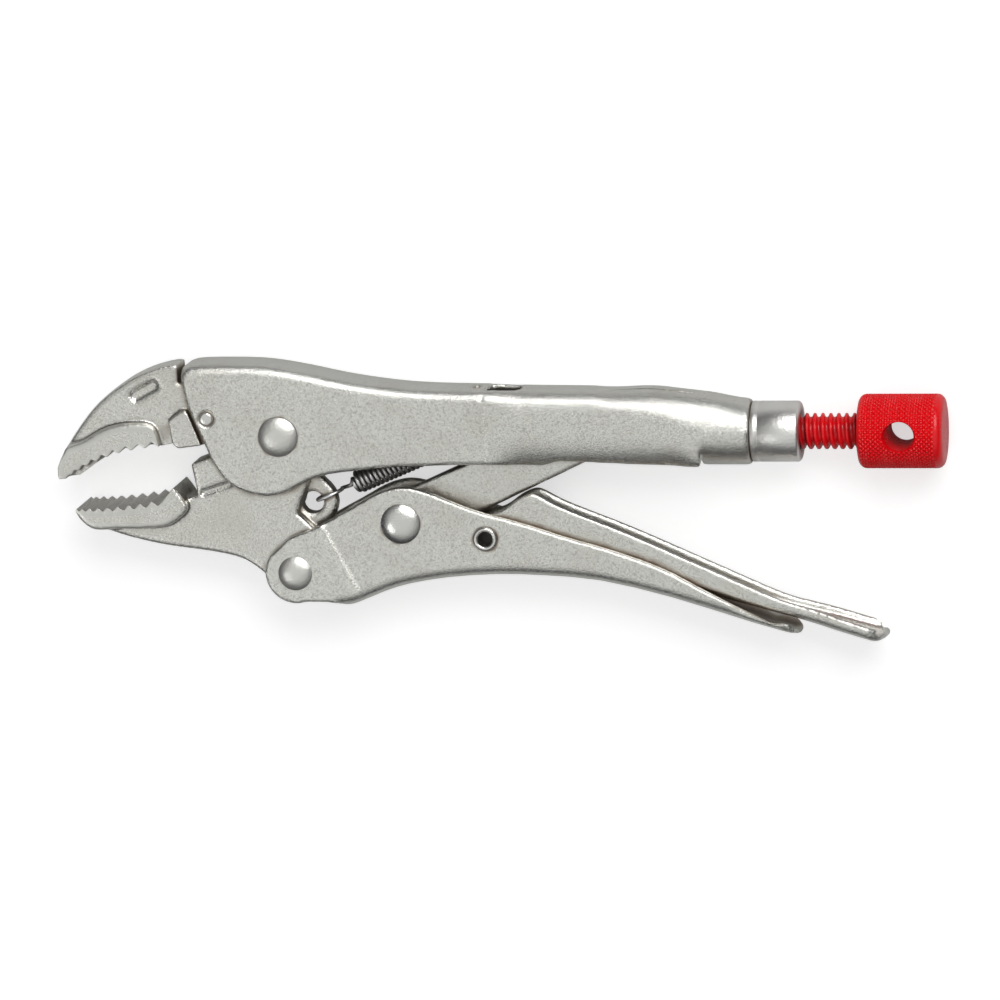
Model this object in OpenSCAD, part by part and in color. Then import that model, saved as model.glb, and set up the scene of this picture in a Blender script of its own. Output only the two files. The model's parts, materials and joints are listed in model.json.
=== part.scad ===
// Locking pliers: an over-centre toggle clamp with curved jaws, a knurled
// adjusting screw and a release lever. The tool lies on its side: jaws at -X,
// adjusting knob at +X, upper handle towards +Y, thickness along Z.
// Lengths are in millimetres. The drawing starts at the jaw pivot, at mid thickness.

/* [Overall] */
// Jaw pivot to the tip of the jaws
jaw_reach = 63; // [50:0.5:80]
// Jaw pivot to the rear end of the upper handle
handle_reach = 132; // [105:1:165]
// Height over the upper handle and the tail of the release lever
grip_height = 79.5; // [66:0.5:96]
// Width across the pressed handles
handle_w = 16; // [13:0.5:20]

/* [Sheet and forgings] */
// Sheet thickness of the two handles
sheet = 2.4; // [1.8:0.1:3]
// Sheet thickness of the release lever
lever_sheet = 1.8; // [1.4:0.1:2.4]
// Radius of the pressed edges of the handles
edge_r = 3.5; // [2.6:0.1:5]
// Width of the toothed pads of the jaws
pad_w = 18; // [12:0.5:22]
// Thickness of the toggle link
link_t = 5; // [3:0.5:7]
// Teeth on each jaw
teeth = 9; // [6:1:12]

/* [Rivets] */
// Shank of the jaw pivot rivet
pivot_d = 8; // [6:0.5:10]
// Head of the jaw pivot rivet and of the toggle rivet
pivot_head = 11.2; // [9:0.2:14]
// Shank of the handle rivet and of the toggle rivet
rivet_d = 7; // [5:0.5:9]
// Head of the handle rivet
rivet_head = 10; // [8:0.2:12]
// Rise of the domed rivet heads
head_rise = 1.8; // [1:0.1:2.2]
// Outside of the hollow lever rivet
hollow_d = 5.4; // [4:0.5:7]
// Bore through the hollow lever rivet
hollow_bore = 4; // [2.5:0.1:5]
// Pin that ties the upper jaw to its handle
tie_pin_d = 3.8; // [3:0.2:5]

/* [Adjusting screw] */
// Crest diameter of the thread
thread_d = 10; // [8:0.5:12]
// Pitch of the thread
pitch = 2.2; // [1.5:0.1:3]
// Thread standing between the bush and the knob
thread_out = 16; // [12:1:25]
// Diameter of the knurled knob
knob_d = 20.5; // [16:0.5:26]
// Length of the knurled knob
knob_len = 23.7; // [18:0.1:30]
// Cross hole through the knob
cross_d = 8; // [6:0.5:10]
// Outside of the threaded bush
bush_d = 16.8; // [14:0.2:20]
// Bush standing out of the handle
bush_out = 13.6; // [10:0.2:20]

/* [Fits] */
// Gap all round a pin that turns in its hole
turn_gap = 0.05; // [0.02:0.01:0.1]
// Side gap between parts that swing past each other
side_gap = 0.2; // [0.1:0.05:0.5]
// Gap left between the toggle link and the screw nose
link_gap = 2.6; // [2.4:0.1:4]

/* [Hidden] */
$fn = 96;

steel = [0.74, 0.73, 0.70];
forged = [0.62, 0.61, 0.58];
bright = [0.86, 0.86, 0.84];
dark = [0.50, 0.50, 0.50];
red = [0.80, 0.06, 0.07];

// Outlines are drawn for the sizes above and stretch with the overall sizes.
kf = jaw_reach / 63;
kb = handle_reach / 132;
ky = grip_height / 79.5;
function place(p) = [p[0] * (p[0] < 0 ? kf : kb), p[1] * ky];
function fitted(list) = [for (p = list) place(p)];
// Smooth run through the points of a list, n steps between neighbours
function smooth(list, n = 3) = concat([for (i = [0 : len(list) - 2], k = [0 : n - 1])
    let (a = list[max(i - 1, 0)], b = list[i], c = list[i + 1], d = list[min(i + 2, len(list) - 1)], t = k / n)
    (2 * b + (c - a) * t + (2 * a - 5 * b + 4 * c - d) * t * t + (3 * b - a - 3 * c + d) * t * t * t) / 2],
    [list[len(list) - 1]]);
function arc(c, r, from, to, n = 24) = [for (i = [0 : n]) let (a = from + (to - from) * i / n)
    c + r * [cos(a), sin(a)]];

// Pivots of the linkage: handle rivet, toggle rivet, link end and lever rivet
handle_pivot = place([3.5, -38.6]);
toggle_pivot = place([33.8, -24.6]);
link_end = place([87, 0]);
lever_pivot = place([57.5, -28.8]);
tie_point = place([-20.2, 5]);
lug_hole = place([8, -19.6]);

inner_w = handle_w - 2 * sheet;
web_t = inner_w - 2 * side_gap;
lever_w = inner_w - 2 * side_gap;
lever_r = lever_sheet + 0.8;
tail_flare = 4.4;
hollow_head = hollow_d + 1.4;
tube_d = bush_d + 1.6;
shank_d = tube_d - 2 * sheet;
bush_in = 14;
lug_r = 7;
lug_t = 5;
lug_d = 5.9;
link_r = 7.4;
nose_d = 7;
wire = 1.1;
coil_d = 6.7;
tab_x = place([57, 0])[0];
tab_low = 0;
tab_hole_y = 4;

knob_start = handle_reach + bush_out + thread_out;
knob_end = knob_start + knob_len;
top_y = 20.4 * ky;
tail_y = -59.1 * ky;

// Top line of the upper handle, floor lines of the lower handle and the lever.
// The lower handle has no floor ahead of its first bend, where it straddles the jaw.
handle_top = smooth(fitted([[-28, 18.2], [-24.5, 20.2], [-14, 20.5], [-3.5, 20.1], [7, 18.4], [17.8, 16.1],
    [28.4, 14.4], [39.3, 13.3], [55, 12.8], [88, 12.3]]));
handle_floor = concat(fitted([[-12, -75], [11, -75]]), smooth(fitted([[15, -48.2], [19.7, -47.7], [28.4, -44.2],
    [35.4, -42.1], [46.3, -40.3], [60, -39.4], [73, -39.7], [89, -41.1], [108.8, -45.8], [131.5, -52.9], [144.6, -56.6]]), 2));
lever_floor = smooth(fitted([[51.5, -32.2], [54.2, -34.9], [59, -36.1], [75, -36.2], [98, -39.4], [121, -45.8],
    [143.8, -52], [155, -55.2], [168.7, -59.1]]), 2);
corner_steps = 6;
deep = 80;
tube_start = handle_reach - bush_in;

// ---- shared shapes ----

// Pressed U section seen along the handle, as [z, y]: closed top at y = 0, open below
function corner(w, r, drop, side) = [for (i = [0 : corner_steps]) let (a = 90 * i / corner_steps, b = side > 0 ? 90 - a : a)
    [side * (w / 2 - r + r * cos(b)), -drop - r + r * sin(b)]];
function u_ring(w, t, r) = concat([[-w / 2, -deep]], corner(w, r, 0, -1), corner(w, r, 0, 1), [[w / 2, -deep]],
    [[w / 2 - t, -deep - 2]], flip(corner(w - 2 * t, max(r - t, 0.5), t, 1)),
    flip(corner(w - 2 * t, max(r - t, 0.5), t, -1)), [[t - w / 2, -deep - 2]]);
function flip(list) = [for (i = [len(list) - 1 : -1 : 0]) list[i]];

// Channel along stations of [x, y of its closed side, width, edge radius], opening down (-1) or up (1)
module channel(stations, t, opens) {
    n = len(u_ring(10, 1, 3));
    m = len(stations);
    sides = concat([[for (i = [0 : n - 1]) i]],
        [for (k = [0 : m - 2], i = [0 : n - 1]) let (j = (i + 1) % n)
            [k * n + j, k * n + i, (k + 1) * n + i, (k + 1) * n + j]],
        [[for (i = [n - 1 : -1 : 0]) (m - 1) * n + i]]);
    polyhedron(
        points = [for (s = stations, p = u_ring(s[2], t, s[3])) [s[0], s[1] - opens * p[1], p[0]]],
        faces = opens < 0 ? sides : [for (f = sides) flip(f)]);
}

module plate(t) {
    translate([0, 0, -t / 2]) linear_extrude(t) children();
}

module bore(p, d) {
    translate([p[0], p[1], -40]) cylinder(d = d, h = 80);
}

// Keeps a rounded plan end of radius r at x = end
module plan_end(end, r) {
    translate([-200, -150, -r]) cube([200 + end - r, 300, 2 * r]);
    translate([end - r, 150, 0]) rotate([90, 0, 0]) cylinder(r = r, h = 300);
}

// Flat bar with two round ends of different size
module bar2d(a, b, ra, rb) {
    hull() {
        translate(a) circle(ra);
        translate(b) circle(rb);
    }
}

// Solid rivet on the Z axis with a low dome outside each handle wall
module rivet(p, d, head, gap) {
    ball = (head * head / 4 + head_rise * head_rise) / (2 * head_rise);
    face = handle_w / 2 + gap;
    translate([p[0], p[1], 0]) {
        cylinder(d = d, h = 2 * face, center = true);
        for (side = [0, 1]) mirror([0, 0, side])
            intersection() {
                translate([0, 0, face + head_rise - ball]) sphere(ball, $fn = 128);
                translate([0, 0, face]) cylinder(d = head + 2, h = 10);
            }
    }
}

// Tooth line from the jaw tip a to the throat b: crests on a bowed line, pitch growing inwards
function bowed(a, b, bow, t) = a + (b - a) * t + bow * 4 * t * (1 - t) * [-(b - a)[1], (b - a)[0]] / norm(b - a);
function tooth_at(i) = pow(i / teeth, 1.3);
function tooth_line(a, b, bow, deep) = [for (i = [0 : teeth - 1], k = [0, 1])
    let (t0 = tooth_at(i), t1 = tooth_at(i + 1))
    k == 0 ? bowed(a, b, bow, t0)
           : bowed(a, b, bow, (t0 + t1) / 2) + [0, deep * (0.55 + 0.45 * t1)]];

// ---- upper handle and what is fixed in it ----

module handle_side() {
    polygon(concat([place([-28, 40])], smooth(fitted([[-27.4, 18.8], [-25.6, 8.7], [-21.1, -2.2], [-18.9, -7.6],
        [-14.7, -13.2], [-9.1, -16.1], [-3.8, -16.9], [1, -16.1], [6.3, -13.4], [10.5, -11.6], [16.9, -10.3],
        [30.9, -8.9], [42, -8.4], [56, -8.2], [73.5, -8.9]])),
        fitted([[78.5, -7.3], [85.5, -7.7], [98, -8.4]]),
        [for (p = [[-2.5, -9], [0.4, -8.8], [0.4, 40]]) [tube_start + p[0], p[1] * ky]]));
}

module upper_handle() {
    color(steel) difference() {
        union() {
            intersection() {
                channel(concat([for (p = handle_top) [p[0], p[1], handle_w, edge_r]], [for (k = [0.125 : 0.125 : 1])
                    blend(handle_top[len(handle_top) - 1], [tube_start + 0.5, tube_d / 2 - 0.01], k)]), sheet, -1);
                translate([0, 0, -20]) linear_extrude(40) handle_side();
            }
            tube();
            spring_tab();
        }
        bore([0, 0], pivot_d + 2 * turn_gap);
        bore(tie_point, tie_pin_d);
        tab_window();
    }
}

// Station k of the way from the flat-sided channel at a to the round tube at b
function blend(a, b, k) = [a[0] + (b[0] - a[0]) * k, a[1] + (b[1] - a[1]) * k, handle_w + (tube_d - 0.02 - handle_w) * k * k,
    edge_r + (tube_d / 2 - 0.05 - edge_r) * k];

// Rear of the handle, rolled round to hold the bush
module tube() {
    translate([tube_start, 0, 0]) rotate([0, 90, 0]) difference() {
        cylinder(d = tube_d, h = bush_in);
        translate([0, 0, -1]) cylinder(d = shank_d, h = bush_in + 2);
    }
}

// Tab lanced out of the handle's back, with a hole for the spring
module spring_tab() {
    difference() {
        translate([tab_x - sheet / 2, tab_low, -3]) cube([sheet, handle_top[24][1] - sheet / 2 - tab_low, 6]);
        translate([tab_x, tab_hole_y, 0]) rotate([0, 90, 0]) cylinder(d = 4, h = 10, center = true);
    }
}

module tab_window() {
    translate([tab_x - sheet / 2 - 1.6, handle_top[24][1] - sheet - 1, -2.6]) cube([1.6, 20, 5.2]);
    translate([tab_x + sheet / 2, handle_top[24][1] - sheet - 1, -2.6]) cube([4.2, 20, 5.2]);
}

jaw_teeth_a = place([-60.6, -11.7]);
jaw_teeth_b = place([-33.6, -2.9]);

module upper_jaw() {
    color(forged) difference() {
        union() {
            plate(inner_w) polygon(concat(smooth(fitted([[-63, -8.6], [-60.9, -3.1], [-54.7, 5.6], [-49.4, 10.9],
                [-43, 15.4], [-37.1, 18.2], [-31.5, 19.8], [-28.2, 20.1]])),
                fitted([[-28.2, 14.4], [-24.5, 16.3], [-14, 16.3], [-14, 9.5], [-17.5, 3], [-21.4, -2.6], [-28.7, -3.4],
                [-30.1, -2.2], [-33.6, -2.9], [-36, -2.6], [-41, -2.6], [-47, -4.2], [-53, -8], [-57.5, -11.2], [-62.9, -11.8]])));
            plate(pad_w) polygon(concat(tooth_line(jaw_teeth_a, jaw_teeth_b, 2.1, 1.7),
                smooth(fitted([[-33.6, -2.9], [-34.9, 1.8], [-37, 3.6], [-41, 3.9], [-45, 3.6], [-50, 2.2], [-55.6, -0.9],
                    [-60.6, -2.6]])), fitted([[-63, -8.6], [-62.9, -11.8]])));
            plate(handle_w - 1) polygon(fitted([[-31.2, 4.5], [-30.1, -2.2], [-28.7, -3.4], [-22, -2.6], [-26, 7.6], [-28, 7.2]]));
        }
        bore(tie_point, tie_pin_d);
        // oblong pocket pressed into each side of the beak
        for (side = [-1, 1]) translate([0, 0, side * inner_w / 2])
            plate(1.6) bar2d(place([-40.6, 11.2]), place([-35.6, 13.9]), 1.2, 1.19);
    }
}

module tie_pin() {
    color(bright) translate([tie_point[0], tie_point[1], 0]) cylinder(d = tie_pin_d, h = handle_w + 0.5, center = true);
}

module pivot_rivet() {
    color(bright) rivet([0, 0], pivot_d, pivot_head, turn_gap);
}

// ---- lower jaw ----

low_teeth_a = place([-58, -20]);
low_teeth_b = place([-33, -17.2]);

module lower_jaw() {
    color(forged) difference() {
        union() {
            plate(web_t) {
                polygon(concat(smooth(fitted([[-58.6, -21], [-57.4, -23.4], [-54.2, -26.2], [-50.5, -27], [-44, -29.1],
                    [-33.7, -31.4], [-20, -33.3], [-11.3, -35.6], [-4.6, -40.5]])), fitted([[2, -47.1], [11, -42], [9.5, -31],
                    [9.5, -27], [4, -22], [9, -10], [-8, 9.5], [-14.5, -5.2], [-19.7, -5.9], [-25.9, -8.1],
                    [-24.2, -17.1], [-30.1, -18], [-34, -20], [-46, -21.6]])));
                circle(12.5 * ky);
                translate(handle_pivot) circle(8.5 * ky);
            }
            plate(pad_w) polygon(concat(tooth_line(low_teeth_a, low_teeth_b, -0.7, -1.7),
                fitted([[-33.4, -18]]), smooth(fitted([[-30.1, -14], [-28.1, -16.5], [-26.6, -19.4], [-27.2, -21.6],
                    [-31.5, -24.9], [-37, -25.9], [-46, -26], [-50.5, -26.4], [-54.2, -26], [-57.4, -23.4], [-58.6, -21]]))));
            plate(lug_t) bar2d(lug_hole, place([0, -14]), lug_r, lug_r + 2);
        }
        bore([0, 0], pivot_d + 2 * turn_gap);
        bore(handle_pivot, rivet_d + 2 * turn_gap);
        bore(lug_hole, lug_d);
        // shallow cutter seat milled along each side
        for (side = [-1, 1]) translate([0, 0, side * web_t / 2])
            plate(1.4) polygon(fitted([[-23.4, -17.2], [-14.1, -14.2], [-14.3, -13.2], [-23.2, -16.1]]));
    }
}

// ---- lower handle, toggle and release lever ----

module handle_rivet() {
    color(bright) rivet(handle_pivot, rivet_d, rivet_head, turn_gap);
}

module lower_side() {
    polygon(concat(smooth(fitted([[2.1, -28.5], [9.1, -25.8], [20.3, -19.9], [26, -16.7], [30.5, -14.9], [35.4, -14.3],
        [42.4, -16], [54.2, -20.7], [67.6, -24.4], [81.1, -28.7], [90.6, -31.4], [106, -36.8], [118, -43.1],
        [130.1, -49.3], [137, -52.6]])), fitted([[150, -52.6], [150, -70], [17.5, -70], [17.5, -48], [13.3, -47]]),
        arc(handle_pivot, 8.7 * ky, 290, 146)));
}

module lower_handle() {
    color(steel) difference() {
        intersection() {
            channel([for (p = handle_floor) [p[0], p[1], handle_w, edge_r]], sheet, 1);
            translate([0, 0, -20]) linear_extrude(40) lower_side();
            plan_end(handle_floor[len(handle_floor) - 1][0], handle_w / 2 + 0.4);
        }
        bore(handle_pivot, rivet_d + 2 * turn_gap);
        bore(toggle_pivot, rivet_d);
        bore(lever_pivot, hollow_d);
    }
}

module toggle_link() {
    color(forged) difference() {
        plate(link_t) bar2d(toggle_pivot, link_end, link_r, link_r - 0.6);
        bore(toggle_pivot, rivet_d + 2 * turn_gap);
    }
}

module toggle_rivet() {
    color(bright) rivet(toggle_pivot, rivet_d, pivot_head, 0);
}

module lever_side() {
    polygon(concat(smooth(fitted([[50.6, -32], [51, -27.6], [54.2, -24], [61.7, -21.4], [66, -18.4], [70.4, -16.6], [74, -18],
        [80, -21], [97.6, -28], [121.4, -38.6], [138.7, -46.2], [149.4, -49.3], [162, -53.3], [168.7, -55.2]])),
        fitted([[172, -66], [150, -66], [51, -50]])));
}

// Thumb rest: the tail widens once it is clear of the handle
function flare(x) = tail_flare * min(max((x - place([146, 0])[0]) / 12, 0), 1);

module release_lever() {
    color(steel) difference() {
        intersection() {
            channel([for (p = lever_floor) [p[0], p[1], lever_w + flare(p[0]), lever_r]], lever_sheet, 1);
            translate([0, 0, -20]) linear_extrude(40) lever_side();
            plan_end(lever_floor[len(lever_floor) - 1][0], (lever_w + tail_flare) / 2 + 0.4);
        }
        bore(lever_pivot, hollow_d + 2 * turn_gap);
    }
}

module lever_rivet() {
    color(bright) translate([lever_pivot[0], lever_pivot[1], 0]) difference() {
        union() {
            cylinder(d = hollow_d, h = handle_w, center = true);
            for (side = [0, 1]) mirror([0, 0, side]) translate([0, 0, handle_w / 2])
                cylinder(d1 = hollow_head, d2 = hollow_head - 1, h = 0.8);
        }
        cylinder(d = hollow_bore, h = 40, center = true);
    }
}

// ---- adjusting screw ----

nose_tip = link_end[0] + link_r - 0.6 + link_gap;
screw_start = nose_tip + 3.4;
stem_d = 3;

module along_x(x) {
    translate([x, 0, 0]) rotate([0, 90, 0]) children();
}

module threaded_bush() {
    color(bright) along_x(tube_start) difference() {
        union() {
            cylinder(d = shank_d, h = bush_in);
            translate([0, 0, bush_in]) cylinder(d = bush_d, h = bush_out - 0.8);
            translate([0, 0, bush_in + bush_out - 0.8]) cylinder(d1 = bush_d, d2 = bush_d - 1.6, h = 0.8);
        }
        translate([0, 0, -1]) cylinder(d = thread_d + 0.18, h = bush_in + bush_out + 2);
    }
}

// Thread drawn as closed rings between root and crest, then a plain neck and the knob
module adjusting_screw() {
    root = thread_d / 2 - 0.6 * pitch;
    crest = thread_d / 2;
    long = knob_start - screw_start;
    turns = floor((long - 2) / pitch);
    corner = 2.2;
    color(red) difference() {
        along_x(screw_start) {
            rotate_extrude() polygon(concat([[0, 0], [root - 0.6, 0], [root, 0.6]],
                [for (i = [0 : turns - 1], k = [0 : 3]) let (z = 0.8 + i * pitch)
                    [[root, crest, crest, root][k], z + [0.12, 0.45, 0.6, 0.93][k] * pitch]],
                [[root, long + 0.5], [0, long + 0.5]]));
            translate([0, 0, long]) rotate_extrude() {
                square([knob_d / 2 - corner, knob_len]);
                translate([0, corner]) square([knob_d / 2, knob_len - 2 * corner]);
                for (z = [corner, knob_len - corner])
                    translate([knob_d / 2 - corner, z]) circle(corner);
            }
        }
        bore([knob_start + knob_len / 2, 0], cross_d);
        along_x(screw_start - 1) cylinder(d = stem_d + 2 * turn_gap, h = 6);
    }
}

// Swivelling nose that bears on the toggle link
module screw_nose() {
    color(dark) along_x(nose_tip) {
        intersection() {
            translate([0, 0, nose_d * 0.8]) sphere(nose_d * 0.8);
            cylinder(d = nose_d, h = 3.2);
        }
        translate([0, 0, 1]) cylinder(d = stem_d, h = 6);
    }
}

// ---- jaw spring ----

loop_r = 3.8;
rim_mid = (lug_d / 2 + lug_r) / 2;
spring_dir = atan2(tab_low + 1 - lug_hole[1], tab_x - lug_hole[0]);
spring_a = lug_hole + rim_mid * [cos(spring_dir), sin(spring_dir)];
spring_b = [tab_x, tab_low + 1.2];
tab_loop_r = 2.7;

module jaw_spring() {
    span = norm(spring_b - spring_a);
    start = loop_r + 1.6;
    coils = floor((span - start - tab_loop_r - 1.6) / (wire * 1.25));
    color(dark) translate([spring_a[0], spring_a[1], 0])
        rotate([0, 0, atan2(spring_b[1] - spring_a[1], spring_b[0] - spring_a[0])]) {
            rotate([90, 0, 0]) ring(loop_r);
            translate([span, 0, 0]) ring(tab_loop_r);
            rotate([0, 90, 0]) translate([0, 0, start]) rotate_extrude() coil_wall(coils);
            for (x = [[loop_r, start + 1], [start + coils * wire * 1.25 - 1, span - tab_loop_r]])
                translate([x[0], 0, 0]) rotate([0, 90, 0]) cylinder(d = wire, h = x[1] - x[0]);
            for (x = [start, start + coils * wire * 1.25 - wire])
                translate([x, 0, 0]) rotate([0, 90, 0]) cylinder(d = coil_d - 2 * wire + 0.4, h = wire);
        }
}

module ring(r) {
    rotate_extrude() translate([r, 0]) circle(d = wire);
}

// Wall of the coil: round outside for each turn of wire, plain inside
module coil_wall(coils) {
    step = wire * 1.25;
    polygon(concat([[coil_d / 2 - wire, 0]],
        [for (i = [0 : coils - 1], k = [0 : 3])
            [coil_d / 2 - [0.55, 0.1, 0.1, 0.55][k] * wire, (i + [0.03, 0.3, 0.7, 0.97][k]) * step]],
        [[coil_d / 2 - wire, coils * step]]));
}

// ---- the part's frame: centre of the box in X and Y, lowest point at Z = 0 ----

module lying() {
    translate([-(knob_end - jaw_reach) / 2, -(top_y + tail_y) / 2, knob_d / 2]) children();
}

lying() upper_handle();
lying() upper_jaw();
lying() tie_pin();
lying() pivot_rivet();
lying() lower_jaw();
lying() handle_rivet();
lying() lower_handle();
lying() toggle_link();
lying() toggle_rivet();
lying() release_lever();
lying() lever_rivet();
lying() threaded_bush();
lying() adjusting_screw();
lying() screw_nose();
lying() jaw_spring();
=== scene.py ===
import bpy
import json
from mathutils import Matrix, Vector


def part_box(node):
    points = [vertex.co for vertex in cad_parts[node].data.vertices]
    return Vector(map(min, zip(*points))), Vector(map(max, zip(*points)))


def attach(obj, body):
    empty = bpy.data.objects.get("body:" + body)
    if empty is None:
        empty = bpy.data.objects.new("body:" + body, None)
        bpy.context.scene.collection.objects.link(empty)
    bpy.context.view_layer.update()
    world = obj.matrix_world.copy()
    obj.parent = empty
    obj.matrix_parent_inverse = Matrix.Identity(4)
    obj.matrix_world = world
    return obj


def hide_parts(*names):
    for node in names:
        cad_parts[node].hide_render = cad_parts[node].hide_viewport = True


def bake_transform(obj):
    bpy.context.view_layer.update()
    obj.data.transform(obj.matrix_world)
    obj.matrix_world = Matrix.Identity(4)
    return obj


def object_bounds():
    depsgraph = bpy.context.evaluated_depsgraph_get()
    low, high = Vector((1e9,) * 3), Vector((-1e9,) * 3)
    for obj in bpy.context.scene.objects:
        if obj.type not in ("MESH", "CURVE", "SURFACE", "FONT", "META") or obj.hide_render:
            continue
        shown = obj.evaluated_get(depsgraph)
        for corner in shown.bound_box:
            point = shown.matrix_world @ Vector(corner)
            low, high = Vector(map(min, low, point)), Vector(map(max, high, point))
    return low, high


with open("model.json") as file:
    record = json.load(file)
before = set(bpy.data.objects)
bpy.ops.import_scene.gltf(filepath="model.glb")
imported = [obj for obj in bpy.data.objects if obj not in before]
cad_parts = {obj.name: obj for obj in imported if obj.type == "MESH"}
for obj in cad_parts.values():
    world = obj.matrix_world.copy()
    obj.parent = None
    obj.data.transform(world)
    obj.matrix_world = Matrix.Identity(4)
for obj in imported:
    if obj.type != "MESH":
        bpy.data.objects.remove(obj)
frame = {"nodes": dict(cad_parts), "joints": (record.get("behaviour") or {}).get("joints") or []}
cad_box = [list(v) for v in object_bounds()]

import bmesh
import bpy
import json
import math
import numpy as np
from mathutils import Matrix, Vector
from mathutils.bvhtree import BVHTree
from mathutils.kdtree import KDTree

scene = bpy.context.scene
NODES = frame["nodes"]
JOINT = {j["name"]: j for j in frame["joints"]}
MM = 0.001

# ---------------------------------------------------------------- places
# The jaw pivot, at mid thickness, is the point that the other places are given from.
PIVOT = Vector(JOINT["jaw_open"]["pos_m"])
HANDLE_PIVOT = Vector(JOINT["handle_swing"]["pos_m"])
TOGGLE_PIVOT = Vector(JOINT["toggle_swing"]["pos_m"])
SCREW_AXIS = Vector(JOINT["screw_turn"]["pos_m"])


def at(x, y, z=0.0):
    """A point in millimetres from the jaw pivot: x to the knob, y to the upper handle."""
    return PIVOT + Vector((x, y, z)) * MM


def sizes(node):
    low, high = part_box(node)
    return high - low


HANDLE_HALF = sizes("upper_jaw").z / 2 - 1.0 * MM  # outer half width of the pressed handles


# ---------------------------------------------------------------- mesh tools
def shown(name, mesh):
    piece = bpy.data.objects.new(name, mesh)
    scene.collection.objects.link(piece)
    return piece


def settled(piece):
    """The piece's evaluated shape as a plain mesh, with its modifiers taken off."""
    graph = bpy.context.evaluated_depsgraph_get()
    mesh = bpy.data.meshes.new_from_object(piece.evaluated_get(graph), depsgraph=graph)
    mesh.name = piece.name
    piece.modifiers.clear()
    old = piece.data
    piece.data = mesh
    if old.users == 0:
        (bpy.data.curves if isinstance(old, bpy.types.Curve) else bpy.data.meshes).remove(old)
    return piece


def dressed(piece, material, body, slot, *nodes, smooth=math.radians(38)):
    """Gives a finished piece its material, its edges, its body and the nodes it stands for.

    A piece given (body, body, start, end) for its body is not attached to any body; its place is baked into its mesh.
    """
    if material is not None:
        piece.data.materials.clear()
        piece.data.materials.append(material)
    piece.data.shade_smooth()
    piece.data.set_sharp_from_angle(angle=smooth)
    if isinstance(body, str):
        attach(piece, body)
    else:
        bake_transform(piece)
    if nodes:
        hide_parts(*nodes)
    return piece


def tumbled(name, node, cell, rounds, opening=None):
    """A pressed or forged piece: the drawn solid, less an opening, with its corners rounded over by tumbling."""
    mesh = NODES[node].data.copy()
    mesh.materials.clear()
    bm = bmesh.new()
    bm.from_mesh(mesh)
    bmesh.ops.remove_doubles(bm, verts=bm.verts, dist=2e-6)
    bm.to_mesh(mesh)
    bm.free()
    piece = shown(name, mesh)
    if opening is not None:
        cut = piece.modifiers.new("opening", "BOOLEAN")
        cut.operation, cut.solver, cut.object = "DIFFERENCE", "EXACT", opening
    remesh = piece.modifiers.new("skin", "REMESH")
    remesh.mode = "VOXEL"
    remesh.voxel_size = cell
    remesh.adaptivity = 0.0
    relax = piece.modifiers.new("tumble", "SMOOTH")
    relax.factor = 0.5
    relax.iterations = rounds
    settled(piece)
    if opening is not None:
        bpy.data.objects.remove(opening)
    return piece


def block(name, low, high):
    """A plain box between two corners given from the jaw pivot, for cutting."""
    bm = bmesh.new()
    bmesh.ops.create_cube(bm, size=1.0)
    low, high = Vector(low), Vector(high)
    bmesh.ops.scale(bm, vec=(high - low) * MM, verts=bm.verts)
    mesh = bpy.data.meshes.new(name)
    bm.to_mesh(mesh)
    bm.free()
    centre = (low + high) / 2
    return set_down(shown(name, mesh), Matrix.Translation(at(centre.x, centre.y, centre.z)))


def points(mesh):
    co = np.empty(len(mesh.vertices) * 3)
    mesh.vertices.foreach_get("co", co)
    return co.reshape(-1, 3)


def put_points(mesh, co):
    mesh.vertices.foreach_set("co", co.ravel())
    mesh.update()


def normals(mesh):
    out = np.empty(len(mesh.vertices) * 3)
    mesh.vertices.foreach_get("normal", out)
    return out.reshape(-1, 3)


def corners(mesh):
    """How sharply each point stands out from its neighbours, from 0 on a flat to 1 on an edge."""
    edges = np.empty(len(mesh.edges) * 2, np.int64)
    mesh.edges.foreach_get("vertices", edges)
    a, b = edges[::2], edges[1::2]
    co, normal = points(mesh), normals(mesh)
    delta = co[a] - co[b]
    long = np.maximum(np.linalg.norm(delta, axis=1), 1e-9)
    bend, ends = np.zeros(len(co)), np.zeros(len(co))
    np.add.at(bend, a, (delta * normal[a]).sum(1) / long)
    np.add.at(bend, b, -(delta * normal[b]).sum(1) / long)
    np.add.at(ends, a, 1)
    np.add.at(ends, b, 1)
    return np.clip(bend / np.maximum(ends, 1) * 4.0, 0, 1)


def local(co):
    """Millimetres from the jaw pivot."""
    return (co - np.array(PIVOT)) / MM


def ramp(x, a, b):
    t = np.clip((x - a) / (b - a), 0, 1)
    return t * t * (3 - 2 * t)


def turned(name, outline, steps=72):
    """A lathe shape about Z from (height, radius) pairs in mm; radius 0 closes an end."""
    bm = bmesh.new()
    rings = []
    for z, r in outline:
        if r <= 0:
            rings.append([bm.verts.new((0, 0, z * MM))])
        else:
            rings.append([bm.verts.new((r * MM * math.cos(2 * math.pi * k / steps),
                                        r * MM * math.sin(2 * math.pi * k / steps), z * MM)) for k in range(steps)])
    closed = outline[0][1] > 0 and outline[-1][1] > 0
    pairs = list(zip(rings, rings[1:])) + ([(rings[-1], rings[0])] if closed else [])
    for low, high in pairs:
        for k in range(steps):
            n = (k + 1) % steps
            if len(low) == 1:
                bm.faces.new((low[0], high[n], high[k]))
            elif len(high) == 1:
                bm.faces.new((low[k], low[n], high[0]))
            else:
                bm.faces.new((low[k], low[n], high[n], high[k]))
    bmesh.ops.recalc_face_normals(bm, faces=bm.faces)
    mesh = bpy.data.meshes.new(name)
    bm.to_mesh(mesh)
    bm.free()
    return shown(name, mesh)


def set_down(piece, matrix):
    piece.data.transform(matrix)
    if matrix.determinant() < 0:
        piece.data.flip_normals()
    return piece


TO_X = Matrix.Rotation(math.radians(90), 4, "Y")  # a shape about Z laid along X


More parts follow.
